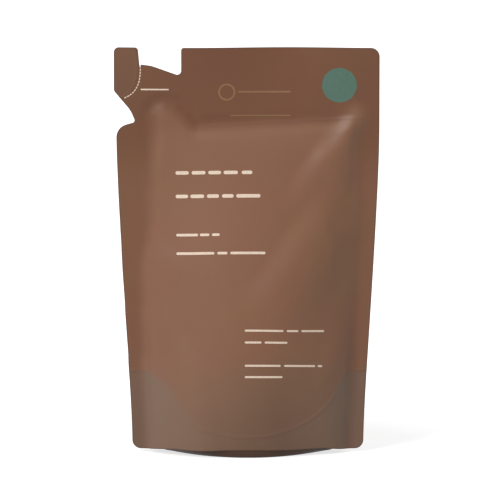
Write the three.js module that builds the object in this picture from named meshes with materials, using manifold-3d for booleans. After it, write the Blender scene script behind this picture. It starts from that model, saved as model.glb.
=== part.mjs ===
// A stand-up refill pack of laminated film, filled with liquid soap and sealed, with a tear-off corner spout.
// Millimetres, +Z up, front face towards -Y. The origin is on the ground below the middle of the pack.
// The pack is drawn flat first, as it was cut: u runs across from the middle and w up from the bottom edge.
// The two flat panels are then bulged by the filling without stretching the film, and the bottom gusset is
// let down between their lower edges until it rests on the ground.
import * as THREE from "three";
import { mergeVertices } from "three/addons/utils/BufferGeometryUtils.js";
import Module from "manifold-3d";

// Flat pack as cut
const PACK_WIDTH = 111;
const PACK_HEIGHT = 170.7;
const TOP_CORNER_RADIUS = 3.7;
const BOTTOM_CORNER_RADIUS = 3.7;

// Notch between the tab and the rest of the top edge
const NOTCH_WALL = 28.4;
const NOTCH_DEPTH = 12.1;
const NOTCH_TOP_RADIUS = 1.1;
const NOTCH_FOOT_RADIUS = 1.7;

// Spout and its tear-off tab: insets run in from the tab's outer edge and drops run down from the top edge
const TAB_OVERHANG = 1;
const SPOUT_BEND_INSET = 15.9;
const SPOUT_BEND_DROP = 7.7;
const SPOUT_BEND_RADIUS = 14;
const TEAR_INSET = 11.4;
const TEAR_DROP = 7.2;
const TEAR_SLIT_WIDTH = 0.6;
const TEAR_SLIT_DEPTH = 1.5;
const TAB_TOP_WIDTH = 10.1;
const TAB_RIGHT_RADIUS = 1.4;
const TAB_LEFT_RADIUS = 2.1;
const TAB_HEIGHT = 18.3;
const TAB_FOOT_RADIUS = 1.9;
const UNDERSIDE_BEND_INSET = 7.1;
const UNDERSIDE_BEND_DROP = 26.7;
const UNDERSIDE_BEND_RADIUS = 11;
const THROAT_INSET = 9.1;
const THROAT_DROP = 31.5;
const THROAT_RADIUS = 1.1;
const SHOULDER_DROP = 33.8;
const SHOULDER_RADIUS = 5.6;

// Heat seals
const SIDE_SEAL = 6.5;
const TOP_SEAL = 32.2;
const TOP_SEAL_SLOPE = 0.055;
const SPOUT_SEAL = 3.7;
const SPOUT_FLANK_INSET = 35.9;
const SPOUT_FLANK_SLOPE = 0.87;
const TAUT_WIDTH = 6;
const TAUT_LENGTH = 90;
const BOTTOM_SEAL = 5.6;
const SEAL_THICKNESS = 0.8;
const SKIRT_THICKNESS = 0.5;

// Bottom gusset
const GUSSET_HEIGHT = 33.5;
const GUSSET_END_INSET = 9;
const BELLY_ROUNDNESS = 2.2;
const FOOT_HALF_LENGTH = 31;
const FOOT_HALF_DEPTH = 17.2;
const FOOT_END_HALF_DEPTH = 0.4;
const KEEL_POWER = 6;
const SEAM_BITE = 0.15;

// Filling and stance
const BASE_HALF_DEPTH = 21;
const BASE_TUCK = 2.5;
const BASE_TUCK_HEIGHT = 45;
const FILL_LEVEL = 132;
const UPRIGHT_TENSION = 0.2;
const CORNER_LIFT = 1.4;

// Folds in the filled panels: the points [u, w, height] along each crest, how far its slopes reach on its
// left and right hand, how round the crest is, and the half depth below which the fold fades out.
const CORNER_CREASE = {
  crest: [
    [50, 145, 0.8], [44.5, 135, 1.8], [39, 126, 2.1],
    [32.5, 115, 1.9], [25.5, 105.5, 1.1], [16, 93, 0],
  ],
  left: 11,
  right: 8,
  round: 2,
  shallow: 0.4,
};
const LONG_DIAGONAL = {
  crest: [
    [54, 111, 0], [46, 104, 1.2], [36, 95, 2.2], [28, 85, 2.6],
    [21, 74, 2.4], [13, 63, 1.8], [2, 53, 0],
  ],
  left: 18,
  right: 22,
  round: 3,
  shallow: 6,
};
const LEFT_SHOULDER = {
  crest: [[-46, 78, 0], [-43, 60, 0.8], [-40, 44, 1.3], [-32, 28, 1.1], [-24, 14, 0]],
  left: 12,
  right: 12,
  round: 3,
  shallow: 4,
};
const RIGHT_SHOULDER = {
  crest: [[46, 58, 0], [45, 46, 0.8], [40, 34, 1.1], [34, 22, 0]],
  left: 8,
  right: 10,
  round: 3,
  shallow: 4,
};
const FOLDS = [CORNER_CREASE, LONG_DIAGONAL, LEFT_SHOULDER, RIGHT_SHOULDER];

// The edge [u, w] along which the filling lifts the film off its side, spout and top seals, how high and how
// steeply it does so, and the heights between which that lift fades in.
const LIFT_EDGE = [
  [-44, 100], [-42.3, 128], [-42, 143], [-39.3, 146.7], [-35.5, 148.3], [-29.6, 147], [-24.9, 143.3],
  [-21.2, 138.3], [3.7, 139.1], [27.8, 141], [46.5, 142.2], [48.7, 139], [49, 100],
];
const LIFT_HEIGHT = 1.3;
const LIFT_REACH = 7;
const LIFT_FADE = [106, 132];

// Fineness of the model
const FILM_CELL = 1.25;
const RELAXING_ROUNDS = 700;
const OVER_RELAXATION = 1.9;
const FACET = 3.6;
const ARC_STEPS = 6;
const BELLY_STEPS = 10;
const SEAM_STEPS = 4;
const CUT_MARGIN = 3;

const wasm = await Module();
wasm.setup();

const HALF_WIDTH = PACK_WIDTH / 2;
const HALF_SEAL = SEAL_THICKNESS / 2;
const POCKET_HALF_WIDTH = HALF_WIDTH - SIDE_SEAL;
const GUSSET_END = HALF_WIDTH - GUSSET_END_INSET;
const TAB_EDGE = -HALF_WIDTH - TAB_OVERHANG;

// Evenly spaced numbers from one end to the other, no further apart than the pitch.
function stations(from, to, pitch) {
  const count = Math.ceil((to - from) / pitch);
  return Array.from({ length: count + 1 }, (_, i) => from + ((to - from) * i) / count);
}

// Points of a closed outline whose corners [u, w, radius] are rounded by true arcs.
function roundedOutline(corners) {
  const points = [];
  corners.forEach(([u, w, radius], i) => {
    const corner = new THREE.Vector2(u, w);
    if (radius === 0) {
      points.push(corner);
      return;
    }
    const [uBefore, wBefore] = corners.at(i - 1);
    const [uAfter, wAfter] = corners[(i + 1) % corners.length];
    const before = new THREE.Vector2(uBefore - u, wBefore - w).normalize();
    const after = new THREE.Vector2(uAfter - u, wAfter - w).normalize();
    const halfAngle = Math.acos(before.dot(after)) / 2;
    const middle = before.clone().add(after).normalize();
    const start = corner.clone().addScaledVector(before, radius / Math.tan(halfAngle));
    const centre = corner.clone().addScaledVector(middle, radius / Math.sin(halfAngle));
    const turn = -Math.sign(before.cross(after)) * (Math.PI - 2 * halfAngle);
    for (let step = 0; step <= ARC_STEPS; step += 1) {
      points.push(start.clone().rotateAround(centre, (turn * step) / ARC_STEPS));
    }
  });
  return points;
}

// The outline of the flat pack, anticlockwise from its lower right corner.
function packOutline() {
  const left = TAB_EDGE;
  const top = PACK_HEIGHT;
  return roundedOutline([
    [HALF_WIDTH, 0, BOTTOM_CORNER_RADIUS],
    [HALF_WIDTH, top, TOP_CORNER_RADIUS],
    [left + NOTCH_WALL, top, NOTCH_TOP_RADIUS],
    [left + NOTCH_WALL, top - NOTCH_DEPTH, NOTCH_FOOT_RADIUS],
    [left + SPOUT_BEND_INSET, top - SPOUT_BEND_DROP, SPOUT_BEND_RADIUS],
    [left + TEAR_INSET, top - TEAR_DROP, 0],
    [left + TEAR_INSET - TEAR_SLIT_WIDTH / 2, top - TEAR_DROP - TEAR_SLIT_DEPTH, 0],
    [left + TEAR_INSET - TEAR_SLIT_WIDTH, top - TEAR_DROP, 0],
    [left + TAB_TOP_WIDTH, top, TAB_RIGHT_RADIUS],
    [left, top, TAB_LEFT_RADIUS],
    [left, top - TAB_HEIGHT, TAB_FOOT_RADIUS],
    [left + UNDERSIDE_BEND_INSET, top - UNDERSIDE_BEND_DROP, UNDERSIDE_BEND_RADIUS],
    [left + THROAT_INSET, top - THROAT_DROP, THROAT_RADIUS],
    [-HALF_WIDTH, top - SHOULDER_DROP, SHOULDER_RADIUS],
    [-HALF_WIDTH, 0, BOTTOM_CORNER_RADIUS],
  ]);
}

// How far a point lies inside the outline. It is negative outside.
function depthInside(outline, u, w) {
  const point = new THREE.Vector2(u, w);
  const nearest = new THREE.Vector3();
  const side = new THREE.Line3();
  let inside = false;
  let distance = Infinity;
  outline.forEach((end, i) => {
    const start = outline.at(i - 1);
    side.start.set(start.x, start.y, 0);
    side.end.set(end.x, end.y, 0);
    side.closestPointToPoint(new THREE.Vector3(u, w, 0), true, nearest);
    distance = Math.min(distance, point.distanceTo(nearest));
    const crosses = start.y > w !== end.y > w;
    if (crosses && u < start.x + ((w - start.y) * (end.x - start.x)) / (end.y - start.y)) {
      inside = !inside;
    }
  });
  return inside ? distance : -distance;
}

// The part of the flat panels that bulges: the body between its side and top seals, and the spout's channel,
// which runs up and left from the body and stays a seal's width inside the cut edge. Below the throat the
// panels are pulled taut, so they stay flat for a while beside the left seal.
function isPocket(outline, u, w) {
  const drop = PACK_HEIGHT - w;
  const inset = u - TAB_EDGE;
  const topSealEdge = TOP_SEAL - TOP_SEAL_SLOPE * u;
  const taut = TAUT_WIDTH * THREE.MathUtils.clamp(1 - (drop - THROAT_DROP) / TAUT_LENGTH, 0, 1);
  const inBody = u > taut - POCKET_HALF_WIDTH && u < POCKET_HALF_WIDTH && drop > topSealEdge;
  if (drop > SHOULDER_DROP + 2 * SHOULDER_RADIUS) {
    return inBody;
  }
  const flank = SPOUT_FLANK_INSET - SPOUT_FLANK_SLOPE * (TOP_SEAL - drop);
  const inChannel = inset < flank && drop < SHOULDER_DROP;
  return (inBody || inChannel) && depthInside(outline, u, w) > SPOUT_SEAL;
}

// The curved edge of the gusset's seal, as a height over the bottom edge: an arc that is low in the middle
// and reaches the gusset's fold at both ends.
function gussetSeam(u) {
  const rise = GUSSET_HEIGHT - BOTTOM_SEAL;
  const radius = (GUSSET_END ** 2 + rise ** 2) / (2 * rise);
  const across = Math.min(Math.abs(u), GUSSET_END);
  return BOTTOM_SEAL + radius - Math.sqrt(radius ** 2 - across ** 2);
}

// The bulged front panel on a grid of film cells. Its half depth is that of a film held at the seals and
// free at the bottom, under a load that falls off towards the fill level. It pulls less upright than across.
function relaxFilm(outline) {
  const us = stations(-HALF_WIDTH, HALF_WIDTH, FILM_CELL);
  const ws = stations(0, PACK_HEIGHT, FILM_CELL);
  const cellU = us[1] - us[0];
  const cellW = ws[1] - ws[0];
  const upright = UPRIGHT_TENSION * (cellU / cellW) ** 2;
  const bulge = ws.map(() => us.map(() => 0));
  const open = ws.map((w) => us.map((u) => isPocket(outline, u, w)));
  const load = ws.map((w) => Math.sqrt(Math.max(FILL_LEVEL - w, 0)));
  for (let round = 0; round < RELAXING_ROUNDS; round += 1) {
    for (let j = 0; j < ws.length - 1; j += 1) {
      const below = bulge[Math.abs(j - 1)];
      for (let i = 1; i < us.length - 1; i += 1) {
        if (open[j][i]) {
          const across = bulge[j][i - 1] + bulge[j][i + 1];
          const along = upright * (below[i] + bulge[j + 1][i]);
          const level = (across + along + load[j]) / (2 + 2 * upright);
          bulge[j][i] += OVER_RELAXATION * (level - bulge[j][i]);
        }
      }
    }
  }
  return { us, ws, bulge };
}

// The place on a line of flat points [u, w] nearest to a point: its distance, the number of its stretch, its
// share of that stretch, and whether the point lies on the left hand along the way.
function nearestOnLine(line, u, w) {
  const point = new THREE.Vector3(u, w, 0);
  const stretch = new THREE.Line3();
  const foot = new THREE.Vector3();
  let nearest = { away: Infinity };
  line.slice(1).forEach(([uEnd, wEnd], number) => {
    const [uStart, wStart] = line[number];
    stretch.start.set(uStart, wStart, 0);
    stretch.end.set(uEnd, wEnd, 0);
    const share = stretch.closestPointToPointParameter(point, true);
    const away = stretch.at(share, foot).distanceTo(point);
    if (away < nearest.away) {
      const turn = (uEnd - uStart) * (w - wStart) - (wEnd - wStart) * (u - uStart);
      nearest = { away, number, share, onLeft: turn > 0 };
    }
  });
  return nearest;
}

// How far the folds lift the film at a point of the flat panel, given its half depth without them.
function foldRelief(u, w, halfDepth) {
  const { smoothstep, lerp } = THREE.MathUtils;
  const edge = nearestOnLine(LIFT_EDGE, u, w);
  const lift = LIFT_HEIGHT * smoothstep(edge.away, 0, LIFT_REACH) * smoothstep(w, ...LIFT_FADE);
  let relief = edge.onLeft ? 0 : lift;
  FOLDS.forEach(({ crest, left, right, round, shallow }) => {
    const { away, number, share, onLeft } = nearestOnLine(crest, u, w);
    const height = lerp(crest[number][2], crest[number + 1][2], share);
    const slope = smoothstep(Math.hypot(away, round) - round, 0, onLeft ? left : right);
    relief += height * (1 - slope) * Math.min(halfDepth / shallow, 1);
  });
  return relief;
}

// Sets the bulge to its real depth at the base and lays the film out over it cell by cell: each step keeps
// its length, so the panel grows narrower and lower where it bulges. Then its lowest part is tucked in a
// little and the folds are raised.
function layOutFilm(outline) {
  const { us, ws, bulge } = relaxFilm(outline);
  const middle = us.findIndex((u) => u >= 0);
  const seam = ws.findIndex((w) => w >= BOTTOM_SEAL);
  const scale = BASE_HALF_DEPTH / bulge[seam][middle];
  const depth = bulge.map((row) => row.map((value) => value * scale));
  const step = (length, rise) => Math.sqrt(Math.max(length ** 2 - rise ** 2, 0));
  const x = ws.map(() => [...us]);
  const z = ws.map((w) => us.map(() => w + CORNER_LIFT));
  ws.forEach((w, j) => {
    for (let i = middle + 1; i < us.length; i += 1) {
      x[j][i] = x[j][i - 1] + step(us[i] - us[i - 1], depth[j][i] - depth[j][i - 1]);
    }
    for (let i = middle - 1; i >= 0; i -= 1) {
      x[j][i] = x[j][i + 1] - step(us[i + 1] - us[i], depth[j][i + 1] - depth[j][i]);
    }
  });
  for (let j = ws.length - 2; j >= 0; j -= 1) {
    us.forEach((u, i) => {
      z[j][i] = z[j + 1][i] - step(ws[j + 1] - ws[j], depth[j + 1][i] - depth[j][i]);
    });
  }
  const folded = depth.map((row, j) => {
    const tuck = (BASE_TUCK / BASE_HALF_DEPTH) * Math.max(1 - ws[j] / BASE_TUCK_HEIGHT, 0) ** 2;
    return row.map((value, i) => value * (1 - tuck) + foldRelief(us[i], ws[j], value));
  });
  return { us, ws, x, depth: folded, z };
}

const OUTLINE = packOutline();
const FILM = layOutFilm(OUTLINE);

// Where a point of the flat panel comes to lie: x, z and its half depth, read between the film's cells.
// Past the film's edges the panel goes straight on.
function place(u, w) {
  const { us, ws } = FILM;
  const column = THREE.MathUtils.clamp((u - us[0]) / (us[1] - us[0]), 0, us.length - 1);
  const row = THREE.MathUtils.clamp((w - ws[0]) / (ws[1] - ws[0]), 0, ws.length - 1);
  const i = Math.min(Math.floor(column), us.length - 2);
  const j = Math.min(Math.floor(row), ws.length - 2);
  const read = (grid) => {
    const low = THREE.MathUtils.lerp(grid[j][i], grid[j][i + 1], column - i);
    const high = THREE.MathUtils.lerp(grid[j + 1][i], grid[j + 1][i + 1], column - i);
    return THREE.MathUtils.lerp(low, high, row - j);
  };
  const overU = u - THREE.MathUtils.clamp(u, us[0], us.at(-1));
  const overW = w - THREE.MathUtils.clamp(w, ws[0], ws.at(-1));
  return { x: read(FILM.x) + overU, halfDepth: read(FILM.depth), z: read(FILM.z) + overW };
}

// A closed solid through a row of rings of points, all with the same count. The flatten function gives the
// two coordinates in which a ring's end cap is filled.
function loft(rings, flatten) {
  const count = rings[0].length;
  const positions = rings.flat().flatMap((point) => point.toArray());
  const faces = [];
  for (let r = 0; r < rings.length - 1; r += 1) {
    for (let p = 0; p < count; p += 1) {
      const next = (p + 1) % count;
      const low = r * count;
      const high = low + count;
      faces.push(low + p, low + next, high + next);
      faces.push(low + p, high + next, high + p);
    }
  }
  const cap = (ring, first, outward) => {
    const flat = ring.map(flatten);
    THREE.ShapeUtils.triangulateShape(flat, []).forEach(([a, b, c]) => {
      faces.push(first + a, ...(outward ? [first + b, first + c] : [first + c, first + b]));
    });
  };
  cap(rings[0], 0, false);
  cap(rings.at(-1), (rings.length - 1) * count, true);
  const geometry = new THREE.BufferGeometry();
  geometry.setAttribute("position", new THREE.Float32BufferAttribute(positions, 3));
  geometry.setIndex(faces);
  return geometry;
}

// A manifold solid from any closed geometry.
function solidOf(geometry) {
  const bare = geometry.clone();
  bare.deleteAttribute("normal");
  bare.deleteAttribute("uv");
  const merged = mergeVertices(bare);
  const vertProperties = new Float32Array(merged.attributes.position.array);
  const triVerts = new Uint32Array(merged.index.array);
  return new wasm.Manifold(new wasm.Mesh({ numProp: 3, vertProperties, triVerts }));
}

// The three.js geometry of a manifold solid.
function geometryOf(solid) {
  const { vertProperties, triVerts } = solid.getMesh();
  const geometry = new THREE.BufferGeometry();
  geometry.setAttribute("position", new THREE.BufferAttribute(new Float32Array(vertProperties), 3));
  geometry.setIndex(new THREE.BufferAttribute(new Uint32Array(triVerts), 1));
  geometry.computeVertexNormals();
  return geometry;
}

// The space between the two panels, grown on both faces by a skin, over a stretch of the flat pack.
function betweenPanels(uReach, wFrom, wTo, skin) {
  const us = stations(-uReach, uReach, FACET);
  const rings = stations(wFrom, wTo, FACET).map((w) => {
    const spots = us.map((u) => place(u, w));
    const front = spots.map(({ x, halfDepth, z }) => new THREE.Vector3(x, -halfDepth - skin, z));
    const back = spots.map(({ x, halfDepth, z }) => new THREE.Vector3(x, halfDepth + skin, z));
    return [...front, ...back.reverse()];
  });
  return solidOf(loft(rings, (point) => new THREE.Vector2(point.x, point.y)));
}

// Both panels with everything between them, cut to the pack's outline as the film lies when it is full.
function filledPanels() {
  const slab = betweenPanels(HALF_WIDTH + CUT_MARGIN, -CUT_MARGIN, PACK_HEIGHT + CUT_MARGIN, HALF_SEAL);
  const laidOutline = OUTLINE.map(({ x: u, y: w }) => {
    const { x, z } = place(u, w);
    return new THREE.Vector2(x, z);
  });
  const depth = 2 * (BASE_HALF_DEPTH + CUT_MARGIN);
  const cutter = new THREE.ExtrudeGeometry(new THREE.Shape(laidOutline), { depth, bevelEnabled: false });
  cutter.rotateX(Math.PI / 2);
  cutter.translate(0, depth / 2, 0);
  return slab.intersect(solidOf(cutter));
}

// One upright section through the gusset's film and what it carries, as a ring of points. The film leaves the
// front panel at the seam, curves down to the foot on which the pack stands, crosses it, and comes up to the
// back panel again. The foot is a pointed oval. Past its ends the film's keel rises to the gusset's fold.
function gussetSection(u) {
  const seam = gussetSeam(u);
  const atSeam = place(u, seam);
  const halfSpan = atSeam.halfDepth + HALF_SEAL - SKIRT_THICKNESS + SEAM_BITE;
  const oval = FOOT_HALF_DEPTH * (1 - (u / FOOT_HALF_LENGTH) ** 2);
  const halfFoot = THREE.MathUtils.clamp(oval, FOOT_END_HALF_DEPTH, 0.9 * halfSpan);
  const pastFoot = (Math.abs(u) - FOOT_HALF_LENGTH) / (GUSSET_END - FOOT_HALF_LENGTH);
  const fold = place(GUSSET_END, GUSSET_HEIGHT).z;
  const keel = Math.min(fold * THREE.MathUtils.clamp(pastFoot, 0, 1) ** KEEL_POWER, atSeam.z);
  const power = 2 / BELLY_ROUNDNESS;
  const half = stations(0, Math.PI / 2, Math.PI / 2 / BELLY_STEPS).map((angle) => {
    const across = Math.max(Math.cos(angle), 0) ** power;
    const y = THREE.MathUtils.lerp(halfFoot, halfSpan, across);
    return new THREE.Vector3(atSeam.x, y, THREE.MathUtils.lerp(atSeam.z, keel, Math.sin(angle) ** power));
  });
  const mirrored = half.map(({ x, y, z }) => new THREE.Vector3(x, -y, z));
  const belly = [...mirrored, ...half.reverse()];
  const flank = [];
  for (let step = 1; step <= SEAM_STEPS; step += 1) {
    const w = THREE.MathUtils.lerp(seam, GUSSET_HEIGHT + CUT_MARGIN, step / SEAM_STEPS);
    const { x, halfDepth, z } = place(u, w);
    flank.push(new THREE.Vector3(x, halfDepth + HALF_SEAL - SKIRT_THICKNESS + SEAM_BITE, z));
  }
  const frontFlank = flank.map(({ x, y, z }) => new THREE.Vector3(x, -y, z)).reverse();
  return [...belly, ...flank, ...frontFlank];
}

// The filled belly that the gusset's film carries, from one side seal to the other.
function gussetBelly(reach) {
  const rings = stations(-reach, reach, FACET).map(gussetSection);
  return solidOf(loft(rings, (point) => new THREE.Vector2(point.y, point.z)));
}

// The whole pack: the space between the panels' lower skirts is emptied, and the belly is put back in it.
function refillPouch() {
  const skirtReach = POCKET_HALF_WIDTH - 2 * SKIRT_THICKNESS;
  const skin = HALF_SEAL - SKIRT_THICKNESS;
  const betweenSkirts = betweenPanels(skirtReach, -2 * CUT_MARGIN, GUSSET_HEIGHT + CUT_MARGIN / 2, skin);
  return filledPanels().subtract(betweenSkirts).add(gussetBelly(skirtReach + SKIRT_THICKNESS));
}

const brownFilm = new THREE.MeshStandardMaterial({ color: 0x86624f, roughness: 0.55, metalness: 0 });

const pouch = new THREE.Mesh(geometryOf(refillPouch()), brownFilm);
pouch.name = "refill_pouch";
pouch.position.x = TAB_OVERHANG / 2;

const pack = new THREE.Group();
pack.name = "hand_soap_refill_pack";
pack.add(pouch);

export default pack;
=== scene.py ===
"""A stand-up refill pack of matt brown film, filled with liquid soap and still sealed.

The pack is drawn flat first, as it was cut: u runs across from the middle and w up from the bottom edge, in
millimetres. The flat panels are bulged by the filling without stretching the film, folds are pressed into
them, and the mesh is made in metres at the end.
"""

import math

import bmesh
import bpy
import numpy as np
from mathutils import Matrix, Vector
from mathutils.geometry import delaunay_2d_cdt


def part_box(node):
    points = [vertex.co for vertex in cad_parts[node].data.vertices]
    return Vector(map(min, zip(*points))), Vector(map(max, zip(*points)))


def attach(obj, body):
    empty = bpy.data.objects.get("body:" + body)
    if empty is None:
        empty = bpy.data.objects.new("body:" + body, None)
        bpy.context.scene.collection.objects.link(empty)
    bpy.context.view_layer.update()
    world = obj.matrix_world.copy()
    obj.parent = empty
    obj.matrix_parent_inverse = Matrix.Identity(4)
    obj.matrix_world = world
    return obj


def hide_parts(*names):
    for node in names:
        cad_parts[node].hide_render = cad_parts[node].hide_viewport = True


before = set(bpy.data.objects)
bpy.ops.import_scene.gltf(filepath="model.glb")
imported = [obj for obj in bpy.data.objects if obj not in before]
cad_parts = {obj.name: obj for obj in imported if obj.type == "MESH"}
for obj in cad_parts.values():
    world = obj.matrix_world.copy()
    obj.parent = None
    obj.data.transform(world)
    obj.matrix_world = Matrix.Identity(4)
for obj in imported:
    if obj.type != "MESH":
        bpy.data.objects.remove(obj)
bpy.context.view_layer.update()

MM = 0.001

# The flat pack, from the frame. It rests on its gusset, which lifts its lower corners off the ground, and
# its tab's outer edge stands a little further left than the body's.
pouch_low, pouch_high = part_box("refill_pouch")
CORNER_LIFT = 1.4
TAB_OVERHANG = 1
PACK_WIDTH = (pouch_high.x - pouch_low.x) / MM - TAB_OVERHANG
PACK_HEIGHT = (pouch_high.z - pouch_low.z) / MM - CORNER_LIFT
HALF_WIDTH = PACK_WIDTH / 2
TAB_EDGE = -HALF_WIDTH - TAB_OVERHANG
MIDDLE_X = TAB_OVERHANG / 2

CORNER_RADIUS = 3.7
SHOULDER_DROP = 33.8
SHOULDER_RADIUS = 5.6

# The corners of the spout: inset from the tab's outer edge, drop from the top, and radius. A narrow slit
# starts the tear, and a throat below the tab narrows the spout.
SPOUT_CORNERS = [
    (28.4, 0, 1.1), (28.4, 12.1, 1.7), (15.9, 7.7, 14),
    (11.4, 7.2, 0), (11.1, 8.7, 0), (10.8, 7.2, 0),
    (10.1, 0, 1.4), (0, 0, 2.1), (0, 18.3, 1.9),
    (7.1, 26.7, 11), (9.1, 31.5, 1.1),
]

# Seals, gusset and filling
SIDE_SEAL = 6.5
TOP_SEAL = 32.2
TOP_SEAL_SLOPE = 0.055
SPOUT_SEAL = 3.7
SPOUT_FLANK_INSET = 35.9
SPOUT_FLANK_SLOPE = 0.87
BOTTOM_SEAL = 5.6
GUSSET_HEIGHT = 33.5
GUSSET_END = HALF_WIDTH - 9
BASE_HALF_DEPTH = 21
BASE_TUCK = 2.5
BASE_TUCK_HEIGHT = 45
FILL_LEVEL = 132
UPRIGHT_TENSION = 0.2
HALF_SEAL = 0.25
SKIRT_THICKNESS = 0.35

# How far in from the left side seal the film is pulled taut, at heights w. It grows fastest at a small kink.
TAUT = [(30, 46, 64, 83, 88, 106, 127, 145), (0, 0.8, 1.6, 2.6, 5, 6.2, 6.9, 7.2)]

# The gusset's film between the skirts: a belly on a pointed oval foot, whose keel rises to the gusset's fold
BELLY_ROUNDNESS = 2.2
GUSSET_GAP = 0.1
GUSSET_GAP_SLOPE = 0.2
FOOT_HALF_LENGTH = 31
FOOT_HALF_DEPTH = 17.2
FOOT_END_HALF_DEPTH = 0.4
FOOT_SHARE = 0.9
KEEL_POWER = 6
KEEL_TAPER = 3
SKIRT_CLOSING = 2

# Folds that the filling presses into the film: points (u, w, height) along each, how far it reaches on its
# left and right hand along the way, how round its crest is, and the half depth below which it fades out
FOLDS = [
    ([(56, 151, 1.2), (50, 142, 1.8), (44, 133, 2.3), (37.5, 123, 2.4), (30, 112, 1.5), (20, 98, 0)],
     14, 9, 4, 2.5),
    ([(54, 111, 0), (46, 104, 1.2), (36, 95, 2.0), (28, 85, 2.3), (21, 74, 2.1), (13, 63, 1.6), (2, 53, 0)],
     18, 13, 3, 6),
    ([(-46, 84, 0), (-43.5, 62, 1.1), (-38.5, 44, 1.6), (-30, 28, 1.5), (-25, 14, 1.7), (-23, 0, 1.8)],
     13, 17, 3, 4),
    ([(46, 58, 0), (45, 46, 0.8), (40, 34, 1.1), (34, 22, 0)], 8, 10, 3, 4),
    ([(-49, 92, 0), (-44, 87, 0.45), (-36, 80, 0.3), (-28, 70, 0)], 7, 7, 2, 2),
    ([(18, 40, 0), (20, 26, -0.9), (22, 12, -1.6), (24, 0, -1.6)], 20, 13, 3, 4),
]

# The edge (u, w) along which the filling lifts the film off its seals, how high and how steeply, and the
# heights between which that lift fades in
LIFT_EDGE = [
    (-44, 100), (-42.3, 128), (-42, 143), (-39.3, 146.7), (-35.5, 148.3), (-29.6, 147), (-24.9, 143.3),
    (-21.2, 138.3), (3.7, 139.1), (27.8, 141), (46.5, 142.2), (48.7, 139), (49, 100),
]
LIFT_HEIGHT = 1.3
LIFT_REACH = 7
LIFT_FADE = (106, 132)

# A groove in both films just outside that edge, deepest round the hump below the spout: its shares of the
# depth, at places counted in points of the edge
GROOVE_DEPTH = 0.6
GROOVE_WIDTH = 2.2
GROOVE_OFFSET = 1.0
GROOVE_PLACES = (1, 2.5, 7.2, 8.5, 10.5)
GROOVE_SHARES = (0, 1, 1, 0.5, 0)

# The crease's tip bends both films forward where it runs out onto the top seal
TIP = [(36, 122), (40.5, 131), (44, 137.5), (47, 143), (49.5, 148)]
TIP_HEIGHTS = (0, 1.2, 1.7, 1.3, 0)
TIP_WIDTH = 4.6

# The flat top is a little wavy from being pulled and handled
WAVE_HEIGHT = 2.0
WAVE_LENGTH = 82
WAVE_SHIFT = 4
WAVE_FOOT = 126

# The bottom hem is pulled up a little between the middle and the corners
HEM_LIFT = 0.8
HEM_PLACE = 33
HEM_SPREAD = 9
HEM_HEIGHT = 14

# Fine lines along the edges of the seals. The gusset's is weaker at the left: its share at u.
SEAM_RISE = 0.16
SEAM_HALF_WIDTH = 0.45
SEAM_MARGIN = 0.6
SEAM_CLEARANCE = 0.2
GUSSET_SEAM_SHARE = [(-30, 10), (0.35, 1)]
TAB_SEAM = [
    (-47.7, 169.7), (-46.9, 166.3), (-46.6, 163), (-46.8, 160.4), (-47.1, 157.8),
    (-47.9, 155), (-49.1, 152.9), (-50.8, 151), (-52.9, 149.7),
]

# The upper edge (u, w) of the greyer film over the gusset, how soft that edge is at u, and how much weaker
# the grey is in the middle
TINT_EDGE = [
    (-55.5, 33.4), (-47, 33.4), (-36, 28), (-26, 16), (-20, 9), (0, 5.6),
    (19.7, 9.8), (27.5, 13.3), (36.5, 20.4), (41.2, 28), (46.8, 33), (55.5, 33),
]
TINT_SOFTNESS = [(-47, -42, -10, 15), (1.2, 6, 6, 1.2)]
MIDDLE_FADE = 0.25

# The weaker grey above that edge, which fades upwards, and the grey of the tab
GREY_ABOVE = 0.5
GREY_ABOVE_TOP = 50
GREY_ABOVE_REACH = 40
TAB_GREY = 0.4
TAB_SOFTNESS = 0.8

# Painted shade: the film is drawn darker low in the middle, where its lower front faces down
PAINTED_SHADE_TOP = 60
PAINTED_SHADE_MIDDLE = 6
PAINTED_SHADE_REACH = 34

# The film is drawn darker where its two panels are sealed flat, up to a half depth, and less so low down:
# partly its own tone, with no soap behind it, and partly painted shade. It is weaker where the crease's tip
# bends the films forward.
SEALED_DEPTH = 1.5
SEALED_LOW_SHARE = 0.5
SEALED_FADE_FOOT = 110
SEALED_FADE_REACH = 25

# Painted shade: the film is drawn dark this close to its cut edge
EDGE_WIDTH = 0.6

# Print
INK_RISE = 0.05
INK_ROOT = 0.1
BAR_ROUNDING = 0.49

# Fineness
FILM_CELL = 1.0
MESH_PITCH = 1.1
SEAM_POINTS = 101
SEAM_STEP = 1.0
ARC_STEP = math.radians(9)
SHARP_ANGLE = math.radians(40)
RELAXING_ROUNDS = 900
OVER_RELAXATION = 1.93
SMOOTHING_ROUNDS = 4
BELLY_STEPS = 24
SKIRT_STEPS = 14
RING_STEPS = 72
DOT_STEPS = 60

# Points of the rim's inner row that come nearer to the outline than this share of their distance are left out
RIM_SHARE = 0.8

# The hem's points are already spaced at the pitch, so its sides aren't split again
HEM_PITCH_MARGIN = 1.001

# Distances that count as none, and the least square of a side's length
TINY = 1e-9
MERGED = 0.004
DEGENERATE = 0.001
MESH_TOLERANCE = 1e-5
LEAST_SQUARE = 1e-12


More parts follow.
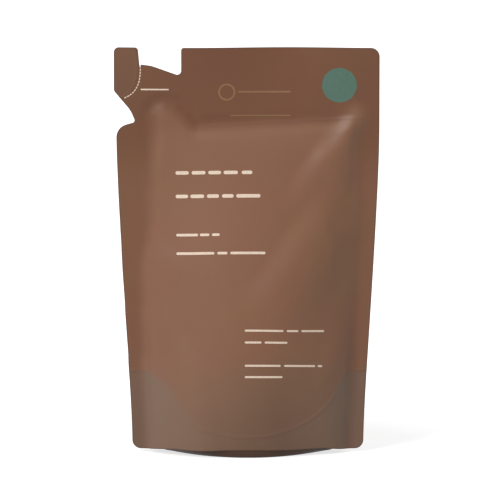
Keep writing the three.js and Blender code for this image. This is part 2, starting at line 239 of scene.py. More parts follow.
def rounded_outline(corners):
    """The points of a closed outline whose corners (u, w, radius) are rounded by arcs."""
    points = []
    count = len(corners)
    for i, (u, w, radius) in enumerate(corners):
        corner = np.array([u, w], float)
        if radius == 0:
            points.append(corner)
            continue
        before = np.array(corners[i - 1][:2]) - corner
        after = np.array(corners[(i + 1) % count][:2]) - corner
        before = before / np.linalg.norm(before)
        after = after / np.linalg.norm(after)
        half_angle = math.acos(before @ after) / 2
        middle = (before + after) / np.linalg.norm(before + after)
        centre = corner + middle * radius / math.sin(half_angle)
        arm = corner + before * radius / math.tan(half_angle) - centre
        turn = -np.sign(before[0] * after[1] - before[1] * after[0]) * (math.pi - 2 * half_angle)
        steps = max(2, math.ceil(abs(turn) / ARC_STEP))
        for step in range(steps + 1):
            c = math.cos(turn * step / steps)
            s = math.sin(turn * step / steps)
            points.append(centre + np.array([c * arm[0] - s * arm[1], s * arm[0] + c * arm[1]]))
    return np.array(points)


def pack_outline():
    """The outline of the flat pack, anticlockwise from its lower right corner."""
    spout = [(TAB_EDGE + inset, PACK_HEIGHT - drop, radius) for inset, drop, radius in SPOUT_CORNERS]
    return rounded_outline([
        (HALF_WIDTH, 0, CORNER_RADIUS),
        (HALF_WIDTH, PACK_HEIGHT, CORNER_RADIUS),
        *spout,
        (-HALF_WIDTH, PACK_HEIGHT - SHOULDER_DROP, SHOULDER_RADIUS),
        (-HALF_WIDTH, 0, CORNER_RADIUS),
    ])


def depth_inside(outline, u, w):
    """How far each point lies inside a closed outline. It is negative outside."""
    start = np.roll(outline, 1, axis=0)
    side = outline - start
    squared = np.maximum((side**2).sum(1), LEAST_SQUARE)
    flat_u, flat_w = np.ravel(u), np.ravel(w)
    nearest = np.full(flat_u.shape, np.inf)
    inside = np.zeros(flat_u.shape, bool)
    for (au, aw), (du, dw), square in zip(start, side, squared):
        share = np.clip(((flat_u - au) * du + (flat_w - aw) * dw) / square, 0, 1)
        nearest = np.minimum(nearest, np.hypot(flat_u - au - share * du, flat_w - aw - share * dw))
        crosses = (aw > flat_w) != (aw + dw > flat_w)
        if dw:
            inside ^= crosses & (flat_u < au + (flat_w - aw) * du / dw)
    return np.where(inside, nearest, -nearest).reshape(np.shape(u))


def smooth(value):
    """A soft step from 0 to 1."""
    level = np.clip(value, 0, 1)
    return level * level * (3 - 2 * level)


def along_line(line, u, w):
    """For flat points: the distance to a line of points, the side (1 left, -1 right) and the place on it."""
    nearest = np.full(np.shape(u), np.inf)
    side = np.zeros(np.shape(u))
    place = np.zeros(np.shape(u))
    for number, (start, end) in enumerate(zip(line, line[1:])):
        au, aw = start[:2]
        du, dw = end[0] - au, end[1] - aw
        share = np.clip(((u - au) * du + (w - aw) * dw) / (du * du + dw * dw), 0, 1)
        away = np.hypot(u - au - share * du, w - aw - share * dw)
        closer = away < nearest
        nearest = np.where(closer, away, nearest)
        side = np.where(closer, np.sign(du * (w - aw) - dw * (u - au)), side)
        place = np.where(closer, number + share, place)
    return nearest, side, place


def fold_relief(u, w, depth):
    """How far the folds lift the film, given its half depth without them."""
    away, side, _ = along_line(LIFT_EDGE, u, w)
    fade = smooth((w - LIFT_FADE[0]) / (LIFT_FADE[1] - LIFT_FADE[0]))
    relief = np.where(side < 0, LIFT_HEIGHT * smooth(away / LIFT_REACH) * fade, 0)
    for line, left_reach, right_reach, crest, shallow in FOLDS:
        away, side, place = along_line(line, u, w)
        height = np.interp(place, range(len(line)), [point[2] for point in line])
        reach = np.where(side > 0, left_reach, right_reach)
        slope = smooth((np.hypot(away, crest) - crest) / reach)
        relief += height * (1 - slope) * np.clip(depth / shallow, 0, 1)
    return relief


def groove(u, w):
    """How far both films are pressed back along the upper edge of the filling."""
    away, side, place = along_line(LIFT_EDGE, u, w)
    outside = (side * away - GROOVE_OFFSET) / GROOVE_WIDTH
    return GROOVE_DEPTH * np.interp(place, GROOVE_PLACES, GROOVE_SHARES) * np.exp(-outside * outside)


def tip(u, w):
    """How far both films are bent forward at the crease's tip."""
    away, _, place = along_line(TIP, u, w)
    return np.interp(place, range(len(TIP)), TIP_HEIGHTS) * np.exp(-((away / TIP_WIDTH) ** 2))


def painted_low_shade(u, w):
    """Painted shade: where the film is drawn darker, low in the middle and a little to the right."""
    return smooth((PAINTED_SHADE_TOP - w) / PAINTED_SHADE_TOP) * (1 - smooth(np.abs(u - PAINTED_SHADE_MIDDLE) / PAINTED_SHADE_REACH))


def grey_tint(u, w):
    """Where the film looks greyer: over the gusset's seal, less above it, and on the tab."""
    border = np.interp(u, *zip(*TINT_EDGE))
    over_seal = smooth((border - w) / np.interp(u, *TINT_SOFTNESS) + 0.5)
    strength = 1 - MIDDLE_FADE * (1 - smooth(np.abs(u) / GUSSET_END))
    above = GREY_ABOVE * smooth((GREY_ABOVE_TOP - w) / GREY_ABOVE_REACH)
    tab_us, tab_ws = zip(*TAB_SEAM[::-1])
    tab = TAB_GREY * smooth((np.interp(w, tab_ws, tab_us) - u) / TAB_SOFTNESS + 0.5) * (w > tab_ws[0])
    return over_seal * strength + (1 - over_seal) * above + tab


def gusset_seam(u):
    """The curved edge of the gusset's seal, as a height over the bottom edge."""
    rise = GUSSET_HEIGHT - BOTTOM_SEAL
    radius = (GUSSET_END**2 + rise**2) / (2 * rise)
    across = np.minimum(np.abs(u), GUSSET_END)
    return BOTTOM_SEAL + radius - np.sqrt(radius**2 - across**2)


def pocket_mask(outline, u, w):
    """The unsealed part of the flat panels: the body and the spout's channel."""
    drop = PACK_HEIGHT - w
    inset = u - TAB_EDGE
    taut = np.interp(w, *TAUT)
    within_sides = (u > taut + SIDE_SEAL - HALF_WIDTH) & (u < HALF_WIDTH - SIDE_SEAL)
    in_body = within_sides & (drop > TOP_SEAL - TOP_SEAL_SLOPE * u)
    flank = SPOUT_FLANK_INSET - SPOUT_FLANK_SLOPE * (TOP_SEAL - drop)
    in_channel = (inset < flank) & (drop < SHOULDER_DROP)
    upper = drop <= SHOULDER_DROP + 2 * SHOULDER_RADIUS
    clear = depth_inside(outline, u, w) > SPOUT_SEAL
    return np.where(upper, (in_body | in_channel) & clear, in_body)


class Film:
    """The bulged panel on a grid of film cells, laid out so that each cell keeps its length."""

    def __init__(self, outline):
        columns = 2 * round(HALF_WIDTH / FILM_CELL)
        rows = round(PACK_HEIGHT / FILM_CELL)
        self.us = np.linspace(-HALF_WIDTH, HALF_WIDTH, columns + 1)
        self.ws = np.linspace(0, PACK_HEIGHT, rows + 1)
        self.cell_u = self.us[1] - self.us[0]
        self.cell_w = self.ws[1] - self.ws[0]
        u, w = np.meshgrid(self.us, self.ws)
        self.depth = self.relax(pocket_mask(outline, u, w), w)
        self.x, self.z = self.lay_out()
        tuck = BASE_TUCK / BASE_HALF_DEPTH * np.maximum(1 - w / BASE_TUCK_HEIGHT, 0) ** 2
        self.depth = self.depth * (1 - tuck) + fold_relief(u, w, self.depth)

    def relax(self, pocket, w):
        """The film's half depth: held at the seals, free at the bottom, loaded up to the fill level."""
        upright = UPRIGHT_TENSION * (self.cell_u / self.cell_w) ** 2
        load = np.sqrt(np.maximum(FILL_LEVEL - w, 0))
        bulge = np.zeros_like(load)
        pocket[-1, :] = pocket[:, 0] = pocket[:, -1] = False
        i, j = np.meshgrid(np.arange(load.shape[1]), np.arange(load.shape[0]))
        colours = [pocket & ((i + j) % 2 == parity) for parity in (0, 1)]
        for _ in range(RELAXING_ROUNDS):
            for colour in colours:
                padded = np.pad(bulge, 1)
                padded[0, :] = padded[2, :]
                across = padded[1:-1, :-2] + padded[1:-1, 2:]
                along = padded[:-2, 1:-1] + padded[2:, 1:-1]
                level = (across + upright * along + load) / (2 + 2 * upright)
                bulge[colour] += OVER_RELAXATION * (level - bulge)[colour]
        for _ in range(SMOOTHING_ROUNDS):
            padded = np.pad(bulge, 1, mode="edge")
            soft = (padded[1:-1, :-2] + 2 * bulge + padded[1:-1, 2:]) / 4
            padded = np.pad(soft, 1, mode="edge")
            bulge = (padded[:-2, 1:-1] + 2 * soft + padded[2:, 1:-1]) / 4
        middle = len(self.us) // 2
        seam = np.searchsorted(self.ws, BOTTOM_SEAL)
        return bulge * BASE_HALF_DEPTH / bulge[seam, middle]

    def lay_out(self):
        """Where the film's points come to lie in x and z."""
        across = np.sqrt(np.maximum(self.cell_u**2 - np.diff(self.depth, axis=1) ** 2, 0))
        along = np.sqrt(np.maximum(self.cell_w**2 - np.diff(self.depth, axis=0) ** 2, 0))
        x = np.zeros_like(self.depth)
        x[:, 1:] = np.cumsum(across, axis=1)
        middle = len(self.us) // 2
        x -= x[:, middle : middle + 1]
        z = np.zeros_like(self.depth)
        z[:-1, :] = -np.cumsum(along[::-1], axis=0)[::-1]
        return x, z + PACK_HEIGHT + CORNER_LIFT

    def read(self, grid, u, w):
        """The value of a grid at flat points, smoothly between its cells."""
        column = np.clip((u - self.us[0]) / self.cell_u, 0, len(self.us) - 1)
        row = np.clip((w - self.ws[0]) / self.cell_w, 0, len(self.ws) - 1)
        i = np.minimum(column.astype(int), len(self.us) - 2)
        j = np.minimum(row.astype(int), len(self.ws) - 2)
        a, b = column - i, row - j
        low = grid[j, i] * (1 - a) + grid[j, i + 1] * a
        high = grid[j + 1, i] * (1 - a) + grid[j + 1, i + 1] * a
        return low * (1 - b) + high * b

    def place(self, u, w, skin=0.0, side=-1):
        """Points of the front (side -1) or back (side 1) panel, grown outwards by a skin."""
        u, w = np.asarray(u, float), np.asarray(w, float)
        depth = self.read(self.depth, u, w) + skin
        past_edge = u - np.clip(u, self.us[0], self.us[-1])
        x = self.read(self.x, u, w) + past_edge + MIDDLE_X
        rise = np.clip((w - WAVE_FOOT) / (PACK_HEIGHT - WAVE_FOOT), 0, 1)
        wave = WAVE_HEIGHT * rise * rise * np.sin(2 * math.pi * (u + WAVE_SHIFT) / WAVE_LENGTH)
        from_hem = (np.abs(u) - HEM_PLACE) / HEM_SPREAD
        hem = HEM_LIFT * np.exp(-(from_hem**2)) * np.clip(1 - w / HEM_HEIGHT, 0, 1)
        y = side * depth + wave + groove(u, w) - tip(u, w)
        return np.stack([x, y, self.read(self.z, u, w) + hem], axis=-1)


OUTLINE = pack_outline()
FILM = Film(OUTLINE)


def seam_lines():
    """The edges of the seals that show as fine lines: the gusset's, the top seal's and the tab's."""
    across = np.linspace(-HALF_WIDTH + SEAM_MARGIN, HALF_WIDTH - SEAM_MARGIN, SEAM_POINTS)
    gusset = np.stack([across, gusset_seam(across)], axis=-1)
    across = np.arange(TAB_EDGE + SPOUT_FLANK_INSET, HALF_WIDTH - SIDE_SEAL, SEAM_STEP)
    top = np.stack([across, PACK_HEIGHT - TOP_SEAL + TOP_SEAL_SLOPE * across], axis=-1)
    return [gusset, top, np.array(TAB_SEAM)]


SEAMS = seam_lines()


def seam_relief(u, w):
    """The fine rise of the film along the seals' edges."""
    relief = np.zeros(np.shape(u))
    for line in SEAMS:
        relief = np.maximum(relief, 1 - along_line(line, u, w)[0] / SEAM_HALF_WIDTH)
    share = np.where(w < GUSSET_HEIGHT, np.interp(u, *GUSSET_SEAM_SHARE), 1)
    return SEAM_RISE * np.maximum(relief, 0) * share


def split_long_sides(outline, pitch):
    """The outline with points added where its sides are longer than the pitch."""
    points = []
    for start, end in zip(outline, np.roll(outline, -1, axis=0)):
        steps = max(1, math.ceil(np.linalg.norm(end - start) / pitch))
        points += [start + (end - start) * step / steps for step in range(steps)]
    return np.array(points)


def to_the_left(along):
    """Unit vectors that point to the left of a line's directions."""
    along = along / np.linalg.norm(along, axis=1, keepdims=True)
    return np.stack([-along[:, 1], along[:, 0]], axis=-1)


def beside(line, offset, pitch):
    """A line of points, respaced and moved to its left."""
    lengths = np.concatenate([[0], np.cumsum(np.hypot(*np.diff(line, axis=0).T))])
    places = np.linspace(0, lengths[-1], round(lengths[-1] / pitch) + 1)
    points = np.stack([np.interp(places, lengths, line[:, k]) for k in (0, 1)], axis=-1)
    return points + offset * to_the_left(np.gradient(points, axis=0))


def deeper(points, outline, depth):
    """The points that lie further inside an outline than a depth."""
    return points[depth_inside(outline, points[:, 0], points[:, 1]) > depth]


def staggered_grid(low, high, pitch):
    """Points of a grid of equal triangles between two corners."""
    rows = [np.zeros((0, 2))]
    for number, w in enumerate(np.arange(low[1] + pitch / 2, high[1], pitch * math.sqrt(3) / 2)):
        us = np.arange(low[0] + pitch / 2 * (1 + number % 2), high[0], pitch)
        rows.append(np.stack([us, np.full_like(us, w)], axis=-1))
    return np.concatenate(rows)


def flat_mesh(outline, pitch, seams=(), border=0.0):
    """Triangles that fill a flat outline, with points on a grid and in rows along the rim and the seams."""
    inner = deeper(staggered_grid(outline.min(0), outline.max(0), pitch), outline, border + pitch / 2)
    if border:
        along = np.roll(outline, -1, axis=0) - np.roll(outline, 1, axis=0)
        ring = outline + border * to_the_left(along)
        inner = np.concatenate([inner, deeper(ring, outline, RIM_SHARE * border)])
    rows = []
    for line in seams:
        inner = inner[along_line(line, inner[:, 0], inner[:, 1])[0] > SEAM_HALF_WIDTH + pitch / 2]
        for offset in (-SEAM_HALF_WIDTH, 0, SEAM_HALF_WIDTH):
            rows.append(deeper(beside(line, offset, pitch), outline, SEAM_CLEARANCE))
    points = [Vector(p) for p in np.concatenate([outline, inner, *rows])]
    edges = [(i, (i + 1) % len(outline)) for i in range(len(outline))]
    count = len(outline) + len(inner)
    for row in rows:
        edges += [(count + i, count + i + 1) for i in range(len(row) - 1)]
        count += len(row)
    found, _, faces, *_ = delaunay_2d_cdt(points, edges, [], 0, MESH_TOLERANCE, False)
    found = np.array([tuple(p) for p in found])
    middles = np.array([found[list(face)].mean(0) for face in faces])
    inside = depth_inside(outline, middles[:, 0], middles[:, 1]) > 0
    return found, [tuple(face) for face, keep in zip(faces, inside) if keep]


def zone(mesh, name, values):
    """Stores a number from 0 to 1 at each vertex, for a material to read."""
    mesh.attributes.new(name, "FLOAT", "POINT").data.foreach_set("value", np.asarray(values, np.float32))


class Patches:
    """Collects patches of vertices and faces, in millimetres, and makes them one closed mesh."""

    def __init__(self, *zones):
        self.points = []
        self.faces = []
        self.zones = {name: [] for name in zones}
        self.count = 0

    def add(self, points, faces, **zones):
        """Points and faces, with each zone's value at the points. A zone that isn't named is 0."""
        points = np.asarray(points, float).reshape(-1, 3)
        self.points.append(points)
        for name, values in self.zones.items():
            values.append(np.broadcast_to(zones.get(name, 0.0), len(points)))
        self.faces += [tuple(int(v) + self.count for v in face) for face in faces]
        self.count += len(points)

    def add_grid(self, grid, **zones):
        """A grid of points, rows by columns."""
        rows, columns = grid.shape[:2]
        at = np.arange(rows * columns).reshape(rows, columns)
        corners = (at[:-1, :-1], at[:-1, 1:], at[1:, 1:], at[1:, :-1])
        self.add(grid, list(zip(*(c.ravel() for c in corners))), **zones)

    def make(self, name):
        """The object, with its patches joined where they meet."""
        mesh = bpy.data.meshes.new(name)
        mesh.from_pydata(np.concatenate(self.points) * MM, [], self.faces)
        for key, values in self.zones.items():
            zone(mesh, key, np.concatenate(values))
        bm = bmesh.new()
        bm.from_mesh(mesh)
        bmesh.ops.remove_doubles(bm, verts=bm.verts, dist=MERGED * MM)
        bmesh.ops.dissolve_degenerate(bm, edges=bm.edges, dist=DEGENERATE * MM)
        bmesh.ops.recalc_face_normals(bm, faces=bm.faces)
        for face in bm.faces:
            face.smooth = True
        for edge in bm.edges:
            edge.smooth = len(edge.link_faces) == 2 and edge.calc_face_angle(0) < SHARP_ANGLE
        bm.to_mesh(mesh)
        bm.free()
        piece = bpy.data.objects.new(name, mesh)
        bpy.context.scene.collection.objects.link(piece)
        return piece


def panel_zones(outline, u, w):
    """The zones of a panel's film at flat points."""
    # The film sealed flat is drawn darker: partly its own tone, partly painted shade
    sealed = 1 - np.clip((FILM.read(FILM.depth, u, w) + tip(u, w)) / SEALED_DEPTH, 0, 1)
    high_up = smooth((w - SEALED_FADE_FOOT) / SEALED_FADE_REACH)
    return {
        "sealed": sealed * (SEALED_LOW_SHARE + (1 - SEALED_LOW_SHARE) * high_up),
        "grey": grey_tint(u, w),
        "painted_shade": painted_low_shade(u, w),
        # Painted shade along the cut edge
        "edge": np.clip(1 - depth_inside(outline, u, w) / EDGE_WIDTH, 0, 1),
    }


def make_pouch():
    """The whole film pack as one closed surface: both panels, their rim, the lower skirts and the gusset."""
    pouch = Patches("sealed", "grey", "painted_shade", "under", "edge")
    split = HALF_WIDTH - SIDE_SEAL
    bottom = np.linspace(-split, split, math.ceil(2 * split / MESH_PITCH) + 1)
    none = np.zeros_like(bottom)
    loop = np.concatenate([OUTLINE, np.stack([bottom, none], axis=-1)])
    outline = split_long_sides(loop, MESH_PITCH * HEM_PITCH_MARGIN)

    # The panels and, outside the skirts, the cut edge between them
    flat, faces = flat_mesh(outline, MESH_PITCH, SEAMS, EDGE_WIDTH)
    u, w = flat[:, 0], flat[:, 1]
    skin = HALF_SEAL + seam_relief(u, w)
    for side in (-1, 1):
        pouch.add(FILM.place(u, w, skin, side), faces, **panel_zones(outline, u, w))
    rim = np.concatenate([outline, outline[:1]])
    rim_zones = panel_zones(outline, rim[:, 0], rim[:, 1])
    is_skirt = (np.abs(rim[:, 1]) < TINY) & (np.abs(rim[:, 0]) <= split + TINY)
    front = FILM.place(rim[:, 0], rim[:, 1], HALF_SEAL, -1)
    back = FILM.place(rim[:, 0], rim[:, 1], HALF_SEAL, 1)
    for i in range(len(rim) - 1):
        if not (is_skirt[i] and is_skirt[i + 1]):
            zones = {name: values[[i, i + 1, i + 1, i]] for name, values in rim_zones.items()}
            pouch.add([front[i], front[i + 1], back[i + 1], back[i]], [(0, 1, 2, 3)], **zones)

    # The gusset's film, and the skirts' hems that join it to the panels
    inner = np.stack([gusset_path(u, split) for u in bottom], axis=1)
    # The gusset's film and the skirts' insides are drawn dark: painted shade under the pack
    pouch.add_grid(inner, under=1.0)
    outer_zones = panel_zones(outline, bottom, none)
    hem_zones = {name: np.concatenate([values, none]) for name, values in outer_zones.items()}
    # The hems blend from the panels' colour into that painted shade
    hem_zones["under"] = np.concatenate([none, none + 1])
    for side, row in ((-1, 0), (1, -1)):
        outer = FILM.place(bottom, none, HALF_SEAL, side)
        pouch.add_grid(np.stack([outer, inner[row]]), **hem_zones)
    for end in (0, len(bottom) - 1):
        ends = [FILM.place(bottom[end], 0.0, HALF_SEAL, side) for side in (-1, 1)]
        zones = {name: values[[end, end, end + len(bottom)]] for name, values in hem_zones.items()}
        pouch.add([*ends, inner[0][end]], [(0, 1, 2)], **zones)
    return pouch.make("film_pouch")


def gusset_path(u, split):
    """The inside of the skirts and the gusset's film between them, from the front edge to the back edge."""
    # The front skirt's inside, from its hem up to the gusset's seam
    heights = np.linspace(0, float(gusset_seam(u)), SKIRT_STEPS)
    front = FILM.place(np.full_like(heights, u), heights, HALF_SEAL - SKIRT_THICKNESS, -1)
    front[:, 1] = np.minimum(front[:, 1], 0) * min(1, (split - abs(u)) / SKIRT_CLOSING)
    x, y, z = front[-1]

    # The foot's half depth on the ground, and how high the keel has risen past the foot's end
    foot = FOOT_HALF_DEPTH * (1 - (u / FOOT_HALF_LENGTH) ** 2)
    foot = np.clip(foot, FOOT_END_HALF_DEPTH, FOOT_SHARE * abs(y))
    past_foot = np.clip((abs(u) - FOOT_HALF_LENGTH) / (GUSSET_END - FOOT_HALF_LENGTH), 0, 1)
    fold_end = FILM.place(GUSSET_END, GUSSET_HEIGHT)[2]
    keel = min(fold_end * past_foot**KEEL_POWER + KEEL_TAPER * past_foot * (1 - past_foot), z)

    # The belly, a rounded quarter from the seam down to the foot, kept inside the skirt
    angle = np.linspace(0, math.pi / 2, BELLY_STEPS)[1:]
    power = 2 / BELLY_ROUNDNESS
    ys = foot + (abs(y) - foot) * np.maximum(np.cos(angle), 0) ** power
    zs = z - (z - keel) * np.sin(angle) ** power
    skirt = np.interp(zs, front[:, 2], -front[:, 1]) - np.minimum(GUSSET_GAP, GUSSET_GAP_SLOPE * (z - zs))
    ys = np.maximum(np.where(zs > front[0, 2], np.minimum(ys, skirt), ys), 0)
    half = np.stack([np.full_like(ys, x), -ys, zs], axis=-1)
    to_back = np.array([1, -1, 1])
    return np.concatenate([front, half, half[::-1] * to_back, front[::-1] * to_back])


def srgb(red, green, blue):
    """A linear colour from sRGB values of 0 to 255."""
    values = [v / 255 for v in (red, green, blue)]
    return tuple(v / 12.92 if v <= 0.04045 else ((v + 0.055) / 1.055) ** 2.4 for v in values)


# The film's material: its colours and how strongly some of them show, and its noises per metre, with the
# values between which they blend
FILM_COLOUR = srgb(133, 92, 64)
BODY_COLOURS = (srgb(134, 93, 69), srgb(128, 93, 67))
PATCH_TINT = (1, 0.94, 1.04)
GREY_COLOUR = srgb(125, 99, 82)
# Painted shade low in the middle, and how strongly it shows
PAINTED_SHADE_COLOUR = srgb(96, 70, 52)
PAINTED_SHADE_SHARE = 0.45
# Darker where sealed flat: partly the film's own tone, partly painted shade
SEALED_TINT_AND_SHADE = (0.73, 0.62, 0.56)
# Painted shade under the pack
UNDERSIDE_SHADE_COLOUR = srgb(74, 50, 35)
EDGE_SHADE_COLOUR = srgb(62, 42, 31)
EDGE_SHADE_SHARE = 0.6
EDGE_SHADE_BLEND = (0.1, 1)
FILM_ROUGHNESS = 0.42
SPECULAR = 0.3
BODY_NOISE = 14
BODY_BLEND = (0.35, 0.65)
PATCH_NOISE = 45
PATCH_BLEND = (0.4, 0.6)
PATCH_SHARE = 0.8
GRAIN_NOISE = 2600
GRAIN_DETAIL = 2
GRAIN_STRENGTH = 0.12
GRAIN_DEPTH = 0.03 * MM

# The inks' materials
GREEN = srgb(84, 114, 100)
CREAM = srgb(236, 214, 194)
TAN = srgb(142, 108, 74)
INK_ROUGHNESS = 0.55
INK_NOISE = 900
INK_BLEND = (0.4, 0.6)
THIN_INK = 0.92


def principled(name, colour, roughness):
    """A material with a Principled shader."""
    material = bpy.data.materials.new(name)
    material.use_nodes = True
    shader = material.node_tree.nodes["Principled BSDF"]
    shader.inputs["Base Color"].default_value = (*colour, 1)
    shader.inputs["Roughness"].default_value = roughness
    shader.inputs["Specular IOR Level"].default_value = SPECULAR
    return material, shader


class Nodes:
    """Short names for making and linking a material's nodes."""

    def __init__(self, material):
        self.tree = material.node_tree

    def add(self, kind, **settings):
        node = self.tree.nodes.new(kind)
        for key, value in settings.items():
            setattr(node, key, value)
        return node

    def link(self, source, target):
        self.tree.links.new(source, target)

    def zone(self, name):
        """A zone's value, from 0 to 1."""
        return self.add("ShaderNodeAttribute", attribute_name=name).outputs["Fac"]

    def noise(self, scale, detail=3.0):
        """Noise over the piece's own coordinates."""
        coordinates = self.add("ShaderNodeTexCoord").outputs["Object"]
        noise = self.add("ShaderNodeTexNoise")
        noise.inputs["Scale"].default_value = scale
        noise.inputs["Detail"].default_value = detail
        self.link(coordinates, noise.inputs["Vector"])
        return noise.outputs["Fac"]

    def ramp(self, value, low, high, to_low=0.0, to_high=1.0):
        """A value, stretched from one range to another and clamped to it."""
        node = self.add("ShaderNodeMapRange")
        node.inputs["From Min"].default_value = low
        node.inputs["From Max"].default_value = high
        node.inputs["To Min"].default_value = to_low
        node.inputs["To Max"].default_value = to_high
        self.link(value, node.inputs["Value"])
        return node.outputs["Result"]

    def mix(self, share, first, second, blend="MIX"):
        """A share of the second colour over the first."""
        node = self.add("ShaderNodeMix", data_type="RGBA", blend_type=blend)
        for name, value in (("Factor", share), ("A", first), ("B", second)):
            socket = node.inputs[name]
            if isinstance(value, bpy.types.NodeSocket):
                self.link(value, socket)
            elif isinstance(value, tuple):
                socket.default_value = (*value, 1)
            else:
                socket.default_value = value
        return node.outputs["Result"]

    def bump(self, height, strength, distance):
        """The normals of a fine relief."""
        node = self.add("ShaderNodeBump")
        node.inputs["Strength"].default_value = strength
        node.inputs["Distance"].default_value = distance
        self.link(height, node.inputs["Height"])
        return node.outputs["Normal"]


def film_material():
    """Matt brown film, greyer over the gusset and darker where sealed flat, partly its own tone and partly
    painted shade; with painted shade low in the middle, along its cut edge and under the pack.
    """
    material, shader = principled("brown_film", FILM_COLOUR, FILM_ROUGHNESS)
    nodes = Nodes(material)
    body = nodes.mix(nodes.ramp(nodes.noise(BODY_NOISE), *BODY_BLEND), *BODY_COLOURS)
    patches = nodes.ramp(nodes.noise(PATCH_NOISE), *PATCH_BLEND, 0, PATCH_SHARE)
    body = nodes.mix(patches, body, PATCH_TINT, "MULTIPLY")
    grey = nodes.mix(nodes.zone("grey"), body, GREY_COLOUR)
    # Painted shade low in the middle
    painted_shade = nodes.mix(nodes.ramp(nodes.zone("painted_shade"), 0, 1, 0, PAINTED_SHADE_SHARE), grey, PAINTED_SHADE_COLOUR)
    # Darker where sealed flat: partly the film's own tone, partly painted shade
    sealed = nodes.mix(nodes.zone("sealed"), painted_shade, SEALED_TINT_AND_SHADE, "MULTIPLY")
    # Painted shade under the pack
    underside_shaded = nodes.mix(nodes.zone("under"), sealed, UNDERSIDE_SHADE_COLOUR)
    # Painted shade along the cut edge
    edge = nodes.ramp(nodes.zone("edge"), *EDGE_SHADE_BLEND, 0, EDGE_SHADE_SHARE)
    colour = nodes.mix(edge, underside_shaded, EDGE_SHADE_COLOUR)
    nodes.link(colour, shader.inputs["Base Color"])
    grain = nodes.bump(nodes.noise(GRAIN_NOISE, GRAIN_DETAIL), GRAIN_STRENGTH, GRAIN_DEPTH)
    nodes.link(grain, shader.inputs["Normal"])
    return material


def ink_material(name, colour):
    """Matt ink, a little uneven."""
    material, shader = principled(name, colour, INK_ROUGHNESS)
    nodes = Nodes(material)
    thin = tuple(THIN_INK * value for value in colour)
    uneven = nodes.mix(nodes.ramp(nodes.noise(INK_NOISE), *INK_BLEND), colour, thin)
    nodes.link(uneven, shader.inputs["Base Color"])
    return material


def circle(steps):
    """Points of a unit circle."""
    angle = np.linspace(0, 2 * math.pi, steps, endpoint=False)
    return np.stack([np.cos(angle), np.sin(angle)], axis=-1)


class Ink(Patches):
    """Print on the front panel: thin closed sheets that follow the film."""

    def add_sheet(self, flat, faces):
        """A closed sheet of flat points and faces, with its root just under the film's surface."""
        rise = HALF_SEAL + INK_RISE
        top = FILM.place(flat[:, 0], flat[:, 1], rise)
        root = FILM.place(flat[:, 0], flat[:, 1], rise - INK_ROOT)
        count = len(flat)
        sides = {(face[i - 1], face[i]) for face in faces for i in range(len(face))}
        rim = [(b, a, a + count, b + count) for a, b in sides if (b, a) not in sides]
        under = [tuple(v + count for v in reversed(face)) for face in faces]
        self.add(np.concatenate([top, root]), [*faces, *under, *rim])

    def add_shape(self, outline):
        """A filled outline."""
        self.add_sheet(*flat_mesh(split_long_sides(np.asarray(outline), MESH_PITCH), MESH_PITCH))

    def add_bar(self, start, end, w, height):
        """A bar with round ends."""
        radius = BAR_ROUNDING * height
        low, high = w - height / 2, w + height / 2
        corners = [(end, low), (end, high), (start, high), (start, low)]
        self.add_shape(rounded_outline([(*corner, radius) for corner in corners]))

    def add_ring(self, centre, radii):
        """A ring between two radii."""
        flat = np.concatenate([np.array(centre) + radius * circle(RING_STEPS) for radius in radii])
        after = [(i + 1) % RING_STEPS for i in range(RING_STEPS)]
        faces = [(i, i + RING_STEPS, after[i] + RING_STEPS, after[i]) for i in range(RING_STEPS)]
        self.add_sheet(flat, faces)


def print_piece(ink, name, colour):
    """Makes one printed layer and puts it on the film."""
    piece = ink.make(name)
    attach(piece, "root")
    piece.data.materials.append(ink_material(name, colour))


# The piece that replaces the CAD node
pouch = make_pouch()
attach(pouch, "root")
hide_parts("refill_pouch")
pouch.data.materials.append(film_material())

# The green dot
DOT_CENTRE = (38.6, 154.8)
DOT_RADIUS = 7.3
dot = Ink()
dot.add_shape(np.array(DOT_CENTRE) + DOT_RADIUS * circle(DOT_STEPS))
print_piece(dot, "green_dot", GREEN)

# Slim bars: (start, end) of each across, the row's height over the bottom edge, and their thickness
PRINT_BARS = [
    ([(-30.7, -25), (-23.8, -17.9), (-16.7, -11.3), (-10.2, -4.2), (-2.6, 1.9)], 117.8, 1.5),
    ([(-30.8, -25.4), (-24.4, -18.5), (-17.3, -12.2), (-10.9, -6), (-4.9, 5.3)], 107.8, 1.5),
    ([(-30.8, -21.2), (-20.4, -16.3), (-15.2, -11.9)], 91.5, 1.1),
    ([(-30.8, -14.2), (-12.9, -8.6), (-7.4, 7.4)], 83.7, 1.1),
    ([(-1.3, 15.1), (16.5, 21.6), (22.9, 33.4)], 51, 0.85),
    ([(-1.3, 5.7), (7.1, 16.8)], 46, 0.85),
    ([(-1.3, 13.9), (15.4, 29.4), (30.6, 32.8)], 36.2, 0.85),
    ([(-1.3, 14.7)], 31.4, 0.85),
    ([(-45.2, -33.3)], 153, 0.6),
]
words = Ink()
for spans, w, height in PRINT_BARS:
    for start, end in spans:
        words.add_bar(start, end, w, height)

# The tear line's dashes, each on the first part of a stretch of its line
TEAR_LINE = [
    (-45.3, 161.8), (-45.4, 159), (-45.8, 156.4), (-46.6, 154.2),
    (-47.9, 152.2), (-49.6, 150.6), (-52.4, 149.2),
]
DASH_PITCH = 1.25
DASH_SHARE = 0.74
DASH_HALF_WIDTH = 0.21
tear = beside(np.array(TEAR_LINE), 0, DASH_PITCH)
for start, end in zip(tear, tear[1:]):
    end = start + DASH_SHARE * (end - start)
    along = (end - start) / np.linalg.norm(end - start)
    across = DASH_HALF_WIDTH * np.array([-along[1], along[0]])
    words.add_shape([start - across, end - across, end + across, start + across])
print_piece(words, "cream_words", CREAM)

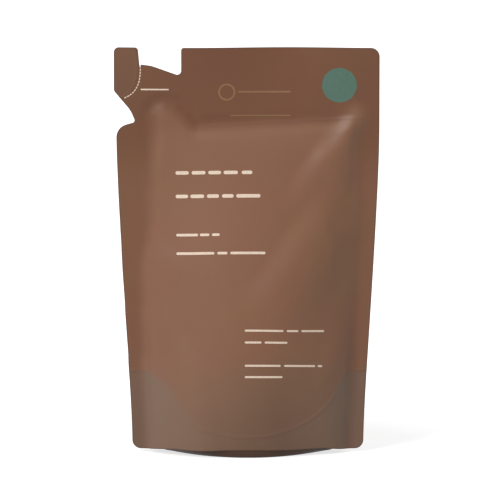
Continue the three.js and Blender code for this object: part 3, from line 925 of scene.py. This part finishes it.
# The faint ring and bars at the top
RING_CENTRE = (-8.9, 151.9)
RING_RADII = (2.9, 3.6)
FAINT_BARS = [(-4.2, 18, 152, 0.7), (-7.5, 18, 142, 0.5)]
faint = Ink()
faint.add_ring(RING_CENTRE, RING_RADII)
for start, end, w, height in FAINT_BARS:
    faint.add_bar(start, end, w, height)
print_piece(faint, "faint_words", TAN)

# The stage: a white floor that keeps the shadow, a white surround, and soft light from the upper left
FLOOR_SIZE = 16
bpy.ops.mesh.primitive_plane_add(size=FLOOR_SIZE, location=(0, 0, 0))
floor = bpy.context.object
floor.name = "floor"


def seen_directly(nodes):
    """1 for what the camera sees, straight, in a gloss or through glass, and 0 for light on the object."""
    path = nodes.add("ShaderNodeLightPath")
    share = path.outputs["Is Camera Ray"]
    for other in ("Is Glossy Ray", "Is Transmission Ray"):
        node = nodes.add("ShaderNodeMath", operation="MAXIMUM")
        nodes.link(share, node.inputs[0])
        nodes.link(path.outputs[other], node.inputs[1])
        share = node.outputs[0]
    return share


# The floor looks white to the camera: grey paper that takes the shadow, and a white glow of its own that is
# weaker near the pack, which paints shadow round it. Distances from the pack are in metres.
FLOOR_WHITE = (0.55, 0.55, 0.55)
FLOOR_SEEN = (0.45, 0.45, 0.45)
FLOOR_ROUGHNESS = 0.9
GLOW_IN_PAINTED_SHADOW = 0.72
GLOW_FAR = 1.0
PAINTED_SHADOW_NEAR = 0.08
PAINTED_SHADOW_FAR = 0.2
paper, paper_shader = principled("white_paper", FLOOR_WHITE, FLOOR_ROUGHNESS)
paper_nodes = Nodes(paper)
seen = seen_directly(paper_nodes)
paper_nodes.link(paper_nodes.mix(seen, FLOOR_WHITE, FLOOR_SEEN), paper_shader.inputs["Base Color"])
paper_shader.inputs["Emission Color"].default_value = (1, 1, 1, 1)
from_pack = paper_nodes.add("ShaderNodeVectorMath", operation="LENGTH")
paper_nodes.link(paper_nodes.add("ShaderNodeTexCoord").outputs["Object"], from_pack.inputs[0])
# Painted shadow: the floor's glow is weaker near the pack
glow = paper_nodes.add("ShaderNodeMath", operation="MULTIPLY")
glow_there = paper_nodes.ramp(from_pack.outputs["Value"], PAINTED_SHADOW_NEAR, PAINTED_SHADOW_FAR, GLOW_IN_PAINTED_SHADOW, GLOW_FAR)
paper_nodes.link(glow_there, glow.inputs[0])
paper_nodes.link(seen, glow.inputs[1])
paper_nodes.link(glow.outputs[0], paper_shader.inputs["Emission Strength"])
floor.data.materials.append(paper)

# The surround: plain white to the camera, weaker as a light
WORLD_STRENGTH = 0.46
world = bpy.data.worlds.new("soft_light")
bpy.context.scene.world = world
world.use_nodes = True
world_nodes = Nodes(world)
background = world.node_tree.nodes["Background"]
background.inputs["Color"].default_value = (1, 1, 1, 1)
strength = world_nodes.ramp(seen_directly(world_nodes), 0, 1, WORLD_STRENGTH, 1)
world_nodes.link(strength, background.inputs["Strength"])


def put_facing(piece, place, target):
    """Adds a lamp or camera to the scene, at a place and turned to a target."""
    bpy.context.scene.collection.objects.link(piece)
    piece.location = place
    piece.rotation_euler = (target - place).to_track_quat("-Z", "Y").to_euler()


# A square soft light from the upper left
KEY_PLACE = Vector((-1.1, -1.3, 1.35))
KEY_TARGET = Vector((0, 0, 0.08))
KEY_SIZE = 0.8
KEY_POWER = 29
key = bpy.data.lights.new("key", "AREA")
key.size = KEY_SIZE
key.energy = KEY_POWER
put_facing(bpy.data.objects.new("key", key), KEY_PLACE, KEY_TARGET)

# The camera: a little above the pack. A pixel is so wide at the pack's distance.
CAMERA_DISTANCE = 2.5
CAMERA_ELEVATION = math.radians(7)
PIXEL = 0.4229 * MM
IMAGE_PIXELS = 500
HALF_IMAGE = IMAGE_PIXELS / 2 * PIXEL
AIM = Vector((1.4 * MM, 0, 86.2 * MM))
BACKWARDS = Vector((0, -math.cos(CAMERA_ELEVATION), math.sin(CAMERA_ELEVATION)))
camera_data = bpy.data.cameras.new("camera")
camera_data.sensor_fit = "HORIZONTAL"
camera_data.angle = 2 * math.atan(HALF_IMAGE / CAMERA_DISTANCE)
camera = bpy.data.objects.new("camera", camera_data)
put_facing(camera, AIM + CAMERA_DISTANCE * BACKWARDS, AIM)
bpy.context.scene.camera = camera

bpy.context.scene.view_settings.view_transform = "Standard"
